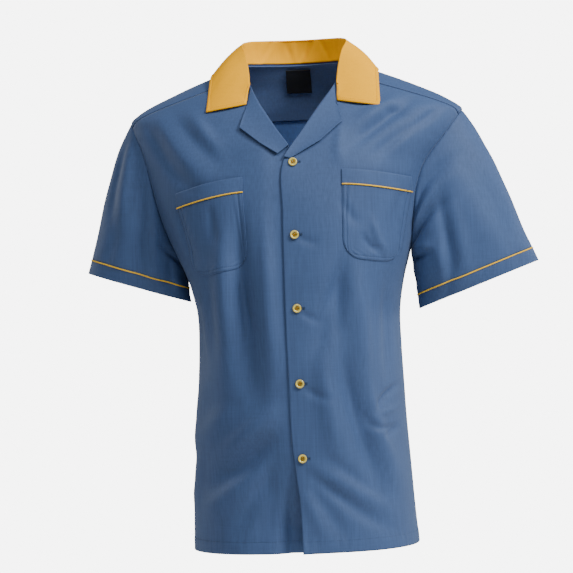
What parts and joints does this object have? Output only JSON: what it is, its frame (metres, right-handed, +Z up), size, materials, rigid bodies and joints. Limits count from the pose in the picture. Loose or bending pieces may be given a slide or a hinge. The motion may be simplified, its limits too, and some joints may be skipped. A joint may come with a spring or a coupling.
{
  "type": "bowling shirt",
  "caption": "Short-sleeved shirt with an open camp collar, notched lapels, two piped chest pockets and piped cuffs, in the hollow shape of a worn shirt.",
  "frame": {"origin": "midway between the two high shoulder points, at the base of the neck", "axes": "+Z up along the body, -Y the way the wearer faces, +X towards the wearer's left"},
  "size_m": [0.699, 0.3107, 0.7881],
  "materials": {
    "shirt_cloth": "matt twill with a faint sheen",
    "collar_cloth": "matt twill",
    "piping": "corded bias tape",
    "button_plastic": "pearly, polished",
    "label_cloth": "woven satin"
  },
  "bodies": {
    "root": {"front_left": "shirt_cloth", "front_right": "shirt_cloth", "back": "shirt_cloth", "yoke_outside": "shirt_cloth", "yoke_inside": "shirt_cloth", "sleeve_left": "shirt_cloth", "sleeve_right": "shirt_cloth", "cuff_band_left": "shirt_cloth", "cuff_band_right": "shirt_cloth", "pocket_left": "shirt_cloth", "pocket_right": "shirt_cloth", "pocket_band_left": "shirt_cloth", "pocket_band_right": "shirt_cloth", "lapel_left": "shirt_cloth", "lapel_right": "shirt_cloth", "collar": "collar_cloth", "cuff_piping_left": "piping", "cuff_piping_right": "piping", "pocket_piping_left": "piping", "pocket_piping_right": "piping", "neck_label": "label_cloth", "button_1": "button_plastic", "button_2": "button_plastic", "button_3": "button_plastic", "button_4": "button_plastic", "button_5": "button_plastic"}
  },
  "joints": []
}
